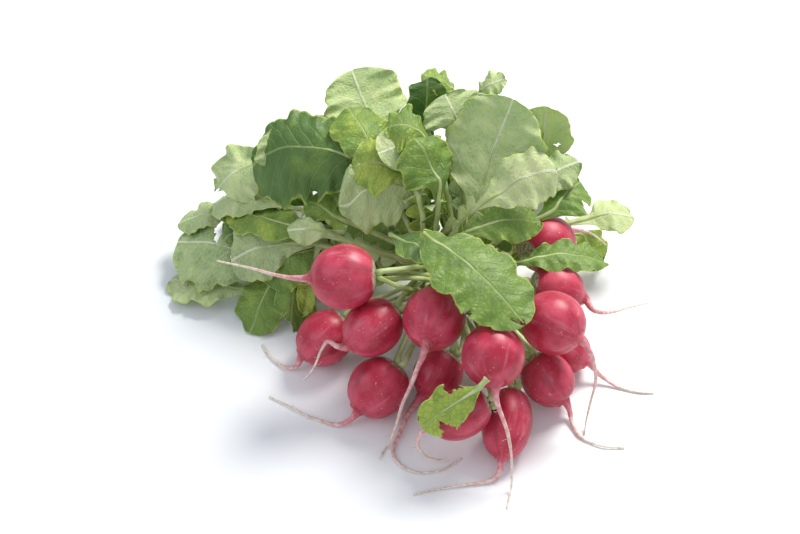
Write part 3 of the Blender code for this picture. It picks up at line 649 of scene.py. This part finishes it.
def outline(along, seed, lobes, length, sign):
    """Half width of the blade over its widest, at each place along it, on one side."""
    base = catmull(np.array([0.18, 0.46, 0.84, 1.0, 0.99]), np.interp(
        along, (0, 0.10, 0.28, 0.48, 0.62), (0, 1, 2, 3, 4)))
    tip = 0.99 * np.sqrt(np.clip(1 - (np.clip(along - 0.6, 0, 1) / 0.4) ** 2.3, 0, 1))
    width = np.where(along < 0.6, base, tip)
    shift = seed * 1.7 + sign
    big = np.sin(2 * np.pi * along * length / BIG_LOBE + shift * 3)
    teeth = np.abs(np.sin(np.pi * along * length / TOOTH + shift * 5)) ** 0.8
    small = np.abs(np.sin(np.pi * along * length / SMALL_TOOTH + shift * 7))
    grow = np.clip(along * 7, 0, 1)
    depth = BIG_DEPTH * big + TOOTH_DEPTH * (teeth - 0.7) + SMALL_DEPTH * small
    return width * (1 + lobes * depth * grow)


print("outline of a 60 mm leaf", outline(np.linspace(0, 1, 5), 1.0, 1.0, 60, 0.0).round(2))


# %% Grid of a blade
MOST_SIDE = 1.15                    # how far past the solid's margin a blade may be drawn


def blade_grid(stalk, columns, seed, lobes, fullness):
    """Points of the blade, with each one's side from -1 to 1, and its millimetres along and
    across."""
    side0 = unit(columns[0, 4] - columns[0, 0])
    spread = np.linspace(-1, 1, 5)
    middle = columns[:, 2:3]
    columns = middle + (columns - middle) * fullness[0] + side0 * fullness[2]
    foot = stalk[-1] + fullness[1] * (stalk[-2] - stalk[-1])
    base = foot + np.outer(spread * 1.6, side0)
    rows = np.concatenate([base[None], columns])
    length = np.linalg.norm(np.diff(rows[:, 2], axis=0), axis=1).sum()
    half = 0.5 * np.linalg.norm(columns[2, 4] - columns[2, 0])
    along = 1 - (1 - np.linspace(0, 1, ROWS)) ** 1.15
    along[-1] = 0.998
    surface = catmull(rows, np.interp(along, STATIONS, range(7)))
    cad_width = np.interp(along, STATIONS, CAD_WIDTHS)
    side = np.linspace(-1, 1, COLUMNS)
    points = np.zeros((ROWS, COLUMNS, 3))
    across = np.zeros((ROWS, COLUMNS))
    left = outline(along, seed, lobes, length, 0.0)
    right = outline(along, seed, lobes, length, 1.0)
    for i in range(ROWS):
        reach = np.where(side < 0, left[i], right[i])
        across[i] = side * reach * half
        place = np.clip(side * reach / cad_width[i], -MOST_SIDE, MOST_SIDE)
        points[i] = catmull(surface[i], (place + 1) * 2)
    walk = np.broadcast_to(along[:, None] * length, across.shape)
    return points, np.broadcast_to(side, across.shape), walk, across


def grid_normals(points):
    """Unit normals of a grid of points, on the side where the leaf's face is."""
    du = np.gradient(points, axis=1)
    dv = np.gradient(points, axis=0)
    normal = np.cross(du, dv)
    return normal / np.maximum(np.linalg.norm(normal, axis=2), 1e-9)[..., None]


print("points in a blade", ROWS * COLUMNS)


# %% Holes and side lobes
def keep_face(side, along, holes, seed):
    """False where a hole is, with a ragged rim."""
    for hole_side, hole_along, half_side, half_along in holes:
        dx = (side - hole_side) / half_side
        dy = (along - hole_along) / half_along
        ragged = 1 + 0.3 * math.sin(3 * math.atan2(dy, dx) + seed) + 0.15 * math.sin(
            7 * math.atan2(dy, dx) + 2 * seed)
        if dx * dx + dy * dy < ragged * ragged:
            return False
    return True


def side_lobes(stalk, start, seed, size):
    """Grid rows of the small lobes that sit in pairs on the stalk below the blade."""
    route = np.vstack([stalk[-5:-1], start[COLUMNS // 2][None]])
    path = smooth_path(route, LOBE_ROWS + 1)[:-1]
    _, sides, ups = frames_along(path[::-1], unit(start[-1] - start[0]))
    sides, ups = sides[::-1], -ups[::-1]
    walk = walked(path)
    share = walk / walk[-1]
    spread = np.linspace(-1, 1, COLUMNS)
    wide = []
    for sign in (0.0, 0.35):
        lobe = np.abs(np.sin(np.pi * (walk / LOBE_PITCH + sign + seed))) ** 0.6
        wide.append(0.5 + size * lobe * np.clip(share * 2.5 - 0.25, 0, 1))
    reach = np.where(spread[None] < 0, wide[0][:, None], wide[1][:, None]) * spread[None]
    lean = 0.35 * np.abs(reach)
    points = path[:, None] + reach[..., None] * sides[:, None] + lean[..., None] * ups[:, None]
    return points, reach, walk - walk[-1]


print("millimetres between side lobes", LOBE_PITCH)


# %% Grow a blade
VEIN_SWELL = 0.12                   # millimetres that a blade rises between its side veins
LUMP = 0.7
WAVES = (13, 7.3)                   # millimetres from crest to crest along the margin


def vein_places(flat, side, walk, across, seed):
    """Each point's place in the leaf's own millimetres, warped so that no vein is straight."""
    warp_x = fractal(flat, 9, seed).reshape(across.shape) * 1.1
    warp_y = fractal(flat, 8, seed + 3).reshape(across.shape) * 1.6
    vein_x, vein_y = across + warp_x * np.abs(side), walk + warp_y
    return vein_x, np.where(across < 0, vein_y + 0.5 * VEIN_SPACING, vein_y)


def relief(flat, side, walk, across, vein_x, vein_y, seed, wave):
    """Height of each point over the middle surface: swelling, lumps and a waving margin."""
    phase = (vein_y - VEIN_SLOPE * np.abs(vein_x)) / VEIN_SPACING
    swell = VEIN_SWELL * np.cos(2 * np.pi * phase) * np.clip(np.abs(across) / 3, 0, 1)
    swell *= 1 - 0.6 * np.abs(side) ** 3
    lumps = fractal(flat, 6.5, seed + 9).reshape(across.shape) * LUMP
    margin = np.abs(side) ** 2.2 * wave * (
        np.sin(2 * np.pi * walk / WAVES[0] + seed * 3 + np.sign(side)) + 0.6
        * np.sin(2 * np.pi * walk / WAVES[1] + seed + 2 * np.sign(side)))
    margin += np.abs(side) ** 1.5 * wave * 1.2 * fractal(flat, 12, seed + 20).reshape(across.shape)
    return (swell + lumps + margin) * np.clip(walk / 8, 0.35, 1)


def grow_blade(name, stalk, columns, seed, tone, lobes, wave, holes, fullness, sides):
    """A leaf's blade as an object, and its grid of points."""
    points, side, walk, across = blade_grid(stalk, columns, seed, lobes, fullness)
    if name not in BARE_STALKS:
        extra, reach, run = side_lobes(stalk, points[0], seed, LOBE_SIZE)
        points = np.concatenate([extra, points])
        side = np.concatenate([np.broadcast_to(side[:1], reach.shape), side])
        walk = np.concatenate([np.broadcast_to(run[:, None], reach.shape), walk])
        across = np.concatenate([reach, across])
    flat = points.reshape(-1, 3)
    vein_x, vein_y = vein_places(flat, side, walk, across, seed)
    height = relief(flat, side, walk, across, vein_x, vein_y, seed, wave)
    points = points + grid_normals(points) * height[..., None]
    points[..., 2] = np.maximum(points[..., 2], LEAF_THICKNESS)
    along = walk / walk.max()
    faces = []
    for i in range(len(points) - 1):
        for k in range(COLUMNS - 1):
            middle = 0.5 * (side[i, k] + side[i, k + 1])
            if keep_face(middle, along[i, k], holes, seed):
                a = i * COLUMNS + k
                faces.append((a, a + 1, a + COLUMNS + 1, a + COLUMNS))
    attributes = {
        "leaf_mm": ("FLOAT_VECTOR", np.stack([vein_x, vein_y, 0 * walk + seed], axis=2)),
        "tone": ("FLOAT", np.full(across.size, tone)),
        "edge": ("FLOAT", np.abs(side))}
    obj = make_mesh(name, points.reshape(-1, 3), faces, sides, attributes)
    solid = obj.modifiers.new("thickness", "SOLIDIFY")
    solid.thickness = LEAF_THICKNESS * MM
    solid.offset = 0
    solid.material_offset = 1
    solid.material_offset_rim = 1
    return obj, points


print("margin waves in millimetres", WAVES)


# %% [markdown]
# The stalk and the midrib are one tapering rod. It leaves the crown broad, runs through the tie
# and goes on under the blade as the midrib, where it thins to a thread near the tip. A shallow
# groove runs along its upper side.

# %% Stalk and midrib
STALK_SIDES = 16
JOIN_GAP = 1.0                      # the midrib starts at least this far ahead of the stalk
CROWNS = {name: path[0] for name, path in PATHS.items()}


def grow_stalk(name, stalk, blade, seed, tone, from_crown=True):
    blade = blade[-ROWS:]
    midrib = blade[2:-3:5, COLUMNS // 2] - grid_normals(blade)[2:-3:5, COLUMNS // 2] * 0.18
    if from_crown:
        crown = min(CROWNS.values(), key=lambda c: np.linalg.norm(c - stalk[0]))
        stalk = np.vstack([crown + 0.35 * (stalk[0] - crown) - 0.4 * unit(stalk[1] - stalk[0]),
                           stalk])
    while (midrib[0] - stalk[-1]) @ unit(stalk[-1] - stalk[-2]) < JOIN_GAP:
        stalk = stalk[:-1]
    split = 5 * (len(stalk) - 1)
    path = np.vstack([smooth_path(stalk, split), smooth_path(midrib, 4 * len(midrib))])
    share = np.linspace(0, 1, len(path) - split)
    first = np.linspace(0, 1, split)
    radii = np.concatenate([1.28 + 0.55 * np.exp(-(first / 0.1) ** 2) + 0.05 * np.sin(first * 9),
                            0.16 + 0.84 * (1 - share) ** 1.9])
    side = unit(blade[40, -1] - blade[40, 0])
    tangents, sides, ups = frames_along(path[::-1], -side)
    sides, ups = sides[::-1], ups[::-1]
    turn = np.linspace(0, 2 * np.pi, STALK_SIDES, endpoint=False)
    groove = 1 - 0.3 * np.exp(-((turn - np.pi / 2) / 0.6) ** 2)
    out = (np.cos(turn)[None, :, None] * sides[:, None]
           + (np.sin(turn) * np.where(np.sin(turn) > 0, 0.8, 1))[None, :, None] * ups[:, None])
    points = (path[:, None] + out * (radii[:, None] * groove[None])[..., None]).reshape(-1, 3)
    points += out.reshape(-1, 3) * (0.12 * fractal(points, 5, seed))[:, None]
    points[:, 2] = np.maximum(points[:, 2], 0.05)
    ends = path[[0, -1]]
    walk = walked(path)
    spots = np.column_stack([np.tile(np.cos(turn) * 2.2, len(path)),
                             np.tile(np.sin(turn) * 2.2, len(path)),
                             np.repeat(walk * 0.05, STALK_SIDES) + seed])
    obj = make_mesh(name, np.vstack([points, ends]), ring_faces(len(path), STALK_SIDES), [STALK], {
        "leaf_mm": ("FLOAT_VECTOR", np.vstack([spots, spots[[0, -1]]])),
        "tone": ("FLOAT", np.full(len(points) + 2, tone))})
    outward(obj)
    return obj


def outward(obj):
    """Turns a closed mesh's faces outward."""
    work = bmesh.new()
    work.from_mesh(obj.data)
    bmesh.ops.recalc_face_normals(work, faces=work.faces)
    work.to_mesh(obj.data)
    work.free()


SLOTS = {row["node"]: row["material_slot"] for row in frame["record"]["subparts"]}
draw = np.random.default_rng(11)
for number, (name, (stalk, columns)) in enumerate(LEAVES.items(), start=1):
    seed, tone = 2.3 * number, TONES.get(number, 0.5)
    lobes, wave = draw.uniform(0.7, 1.5), draw.uniform(0.7, 1.3)
    if name == "torn_leaf":
        tone, lobes, wave = 0.12, 1.6, 1.5
        SLOTS[name] = "leaf_upper_side"
    sides = [LEAF_UNDER, LEAF_TOP] if SLOTS[name] == "leaf_underside" else [LEAF_TOP, LEAF_UNDER]
    blade, grid = grow_blade(name + "_blade", stalk, columns, seed, tone, lobes, wave,
                             HOLES.get(number, ()), FULLNESS.get(number, USUAL_FULLNESS), sides)
    stem = grow_stalk(name + "_stalk", stalk, grid, seed, tone, name != "torn_leaf")
    for piece in (blade, stem):
        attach(piece, "root")
        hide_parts(name)
print("leaves grown", len(LEAVES), "faces each", len(blade.data.polygons) * 2)

# %% [markdown]
# ## Rootlets
# Fine side roots grow from a taproot at all angles, more of them near its tip. They repeat
# along a path, so Geometry Nodes make them: points are spread on the taproot's line, and each
# gets a thin bent hair with a random turn and length.

# %% Rootlet tree
ROOTLET = bpy.data.node_groups.new("rootlets", "GeometryNodeTree")
face = ROOTLET.interface
face.new_socket("Geometry", in_out="INPUT", socket_type="NodeSocketGeometry")
for label, kind in (("Count", "NodeSocketInt"), ("Length", "NodeSocketFloat"),
                    ("Radius", "NodeSocketFloat"), ("Seed", "NodeSocketInt"),
                    ("Material", "NodeSocketMaterial")):
    face.new_socket(label, in_out="INPUT", socket_type=kind)
face.new_socket("Geometry", in_out="OUTPUT", socket_type="NodeSocketGeometry")
inlet = add_node(ROOTLET, "NodeGroupInput").outputs
line = add_node(ROOTLET, "GeometryNodeMeshToCurve", {"Mesh": inlet["Geometry"]})
spots = add_node(ROOTLET, "GeometryNodeCurveToPoints", {
    "Curve": line.outputs[0], "Count": inlet["Count"]}, mode="COUNT")
start = add_node(ROOTLET, "ShaderNodeCombineXYZ", {"Z": 0.0})
arc = add_node(ROOTLET, "GeometryNodeCurvePrimitiveBezierSegment", {"Resolution": 7})
bow = add_node(ROOTLET, "ShaderNodeCombineXYZ", {
    0: math_of(ROOTLET, "MULTIPLY", inlet["Length"], 0.35),
    2: math_of(ROOTLET, "MULTIPLY", inlet["Length"], 0.5)})
tip = add_node(ROOTLET, "ShaderNodeCombineXYZ", {
    0: math_of(ROOTLET, "MULTIPLY", inlet["Length"], -0.15), 2: inlet["Length"]})
for key, source in (("Start Handle", start), ("End Handle", bow), ("End", tip)):
    ROOTLET.links.new(source.outputs[0], arc.inputs[key])
arc.inputs["Start"].default_value = (0, 0, 0)
taper = add_node(ROOTLET, "GeometryNodeSplineParameter").outputs["Factor"]
thin = add_node(ROOTLET, "GeometryNodeSetCurveRadius", {
    "Curve": arc.outputs[0], "Radius": between(ROOTLET, taper, 0.0, 1.0, 1.0, 0.25)})
ring = add_node(ROOTLET, "GeometryNodeCurvePrimitiveCircle", {"Resolution": 6,
                                                               "Radius": inlet["Radius"]})
hair = add_node(ROOTLET, "GeometryNodeCurveToMesh", {
    "Curve": thin.outputs[0], "Profile Curve": ring.outputs[0], "Fill Caps": True})
turns = add_node(ROOTLET, "FunctionNodeRandomValue", {
    "Min": (-1.4, -1.4, 0.0), "Max": (1.4, 1.4, 6.28), "Seed": inlet["Seed"]},
    data_type="FLOAT_VECTOR")
sizes = add_node(ROOTLET, "FunctionNodeRandomValue", {2: 0.35, 3: 1.0, "Seed": inlet["Seed"]},
                 data_type="FLOAT")
placed = add_node(ROOTLET, "GeometryNodeInstanceOnPoints", {
    "Points": spots.outputs["Points"], "Instance": hair.outputs[0],
    "Rotation": turns.outputs["Value"], "Scale": sizes.outputs[1]})
real = add_node(ROOTLET, "GeometryNodeRealizeInstances", {0: placed.outputs[0]})
done = add_node(ROOTLET, "GeometryNodeSetMaterial", {0: real.outputs[0],
                                                     "Material": inlet["Material"]})
add_node(ROOTLET, "NodeGroupOutput", {0: done.outputs[0]})


def bake_tree(obj, tree, name, **values):
    """Runs a tree on an object, and gives its result as a plain mesh object."""
    modifier = obj.modifiers.new("tree", "NODES")
    modifier.node_group = tree
    for item in tree.interface.items_tree:
        if item.in_out == "INPUT" and item.name in values:
            modifier[item.identifier] = values[item.name]
    graph = bpy.context.evaluated_depsgraph_get()
    mesh = bpy.data.meshes.new_from_object(obj.evaluated_get(graph))
    mesh.name = name
    mesh.shade_smooth()
    result = bpy.data.objects.new(name, mesh)
    bpy.context.scene.collection.objects.link(result)
    bpy.data.objects.remove(obj, do_unlink=True)
    return result


HAIR, tree, shader = new_material("rootlet")
place = add_node(tree, "ShaderNodeTexCoord").outputs["Object"]
set_inputs(tree, shader, {
    "Base Color": mix_of(tree, noise_of(tree, place, 3), srgb("#E9D9C4"), srgb("#C9A98C")),
    "Roughness": 0.6, "Subsurface Weight": 0.2, "Subsurface Scale": 0.001})
for number, (name, path) in enumerate(PATHS.items(), start=1):
    run = path[GLOBE_RINGS + 8:-2]
    line_mesh = make_mesh(name + "_line", run, [], [])
    line_mesh.data.edges.add(len(run) - 1)
    pairs = [[i, i + 1] for i in range(len(run) - 1)]
    line_mesh.data.edges.foreach_set("vertices", np.array(pairs).ravel())
    hairs = bake_tree(line_mesh, ROOTLET, name + "_rootlets", Count=12, Length=4.2 * MM,
                      Radius=0.09 * MM, Seed=number, Material=HAIR)
    for v in hairs.data.vertices:
        v.co.z = max(v.co.z, 0.0002)
    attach(hairs, "root")
    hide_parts(name)
print("rootlets", len(PATHS), "points each", len(hairs.data.vertices))

# %% [markdown]
# ## The tie and a broken stalk
# The tie is a round rubber band, wound twice. Its solid is right but coarse, so a finer band
# follows the same coil: its middle and size come from the solid's box. Natural rubber is tan,
# matt and a little translucent.

# %% Rubber band and broken stalk
RUBBER, tree, shader = new_material("natural_rubber")
place = add_node(tree, "ShaderNodeTexCoord").outputs["Object"]
set_inputs(tree, shader, {
    "Base Color": mix_of(tree, noise_of(tree, place, 2), srgb("#B98F5C"), srgb("#A67C4B")),
    "Roughness": 0.62, "Subsurface Weight": 0.1, "Subsurface Scale": 0.001,
    "Normal": bump_of(tree, noise_of(tree, place, 0.3), 0.05)})


def plain_tube(name, path, radii, mat, sides, seed=0.0):
    """A swept tube with stalk attributes."""
    _, around, up = frames_along(path, (1, 0.2, 0.3))
    turn, out = circle_out(around, up, sides)
    points = (path[:, None] + out * radii[:, None, None]).reshape(-1, 3)
    points += out.reshape(-1, 3) * (0.1 * seed * fractal(points, 4, seed))[:, None]
    spots = np.column_stack([np.tile(np.cos(turn) * 2.2, len(path)),
                             np.tile(np.sin(turn) * 2.2, len(path)),
                             np.repeat(np.arange(len(path)) * 0.05, sides)])
    obj = make_mesh(name, np.vstack([points, path[[0, -1]]]), ring_faces(len(path), sides), [mat], {
        "leaf_mm": ("FLOAT_VECTOR", np.vstack([spots, spots[[0, -1]]])),
        "tone": ("FLOAT", np.full(len(points) + 2, 0.1))})
    outward(obj)
    return obj


BAND_RADIUS = 0.9
BAND_TURNS = 2
low, high = (np.array(corner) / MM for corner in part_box("rubber_band"))
middle = 0.5 * (low + high)
major = 0.5 * (high[0] - low[0]) - BAND_RADIUS
turn = np.linspace(0, 2 * math.pi * BAND_TURNS, 200)
travel = (turn / (2 * math.pi) / BAND_TURNS - 0.5) * (high[1] - low[1] - 2 * BAND_RADIUS)
coil = np.column_stack([middle[0] + major * np.cos(turn), middle[1] + travel,
                        middle[2] + major * np.sin(turn)])
band = plain_tube("rubber_band_coil", coil, np.full(len(coil), BAND_RADIUS), RUBBER, 16)
BROKEN_STALK = [(52.5, -48, 15), (50, -49.5, 10), (47, -53, 3.6), (44, -55, 2)]
route = smooth_path(np.array(BROKEN_STALK) + SHIFT, 40)
snapped = plain_tube("broken_stalk_rod", route, np.linspace(1.3, 1.05, 40), STALK, 16, 1.3)
for piece, node, finish in ((band, "rubber_band", "rubber_band"),
                            (snapped, "broken_stalk", "leaf_underside")):
    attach(piece, "root")
    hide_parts(node)
print("band mm across", round(2 * major, 1))

# %% [markdown]
# ## Floor, light and camera
# The bunch lies on a white glazed worktop. One large soft light stands high at the back right,
# so that shadows fall to the front left, and a weaker one fills from the left. The camera looks
# down at 45 degrees.

# %% Stage
FLOOR, tree, shader = new_material("white_glazed_worktop")
place = add_node(tree, "ShaderNodeTexCoord").outputs["Object"]
set_inputs(tree, shader, {
    "Base Color": mix_of(tree, noise_of(tree, place, 60), srgb("#F6F8FA"), srgb("#FAFBFC")),
    "Roughness": 0.28, "Specular IOR Level": 0.4})
FLOOR_SIZE = 4000
edge = FLOOR_SIZE / 2
corners = [(-edge, -edge, 0), (edge, -edge, 0), (edge, edge, 0), (-edge, edge, 0)]
floor = make_mesh("worktop", corners, [(0, 1, 2, 3)], [FLOOR])


def area_light(name, place_mm, aim_mm, size_mm, watts, colour):
    light = bpy.data.lights.new(name, "AREA")
    light.shape = "DISK"
    light.size = size_mm * MM
    light.energy = watts
    light.color = srgb(colour)[:3]
    obj = bpy.data.objects.new(name, light)
    obj.location = Vector(place_mm) * MM
    aim = Vector(aim_mm) - Vector(place_mm)
    obj.rotation_euler = aim.to_track_quat("-Z", "Y").to_euler()
    bpy.context.scene.collection.objects.link(obj)


area_light("key_window", (420, 520, 800), (0, 0, 30), 420, 11.5, "#FFFDF8")
area_light("fill", (-700, -300, 600), (0, 0, 30), 700, 1.5, "#F2F7FF")
area_light("front", (100, -900, 500), (0, 0, 30), 700, 1.2, "#FFFFFF")
world = bpy.data.worlds.new("studio")
bpy.context.scene.world = world
world.use_nodes = True
world.node_tree.nodes["Background"].inputs["Color"].default_value = srgb("#EAF2FC")
world.node_tree.nodes["Background"].inputs["Strength"].default_value = 0.55

bpy.context.scene.view_settings.view_transform = "Standard"
camera_data = bpy.data.cameras.new("camera")
camera_data.lens = 85.5
camera_data.sensor_width = 36
camera = bpy.data.objects.new("camera", camera_data)
camera.location = (Vector((0, -610.9, 650.9)) + Vector(SHIFT)) * MM
camera.rotation_euler = (math.radians(45), 0, 0)
bpy.context.scene.collection.objects.link(camera)
bpy.context.scene.camera = camera
print("camera mm", [round(c / MM, 1) for c in camera.location])
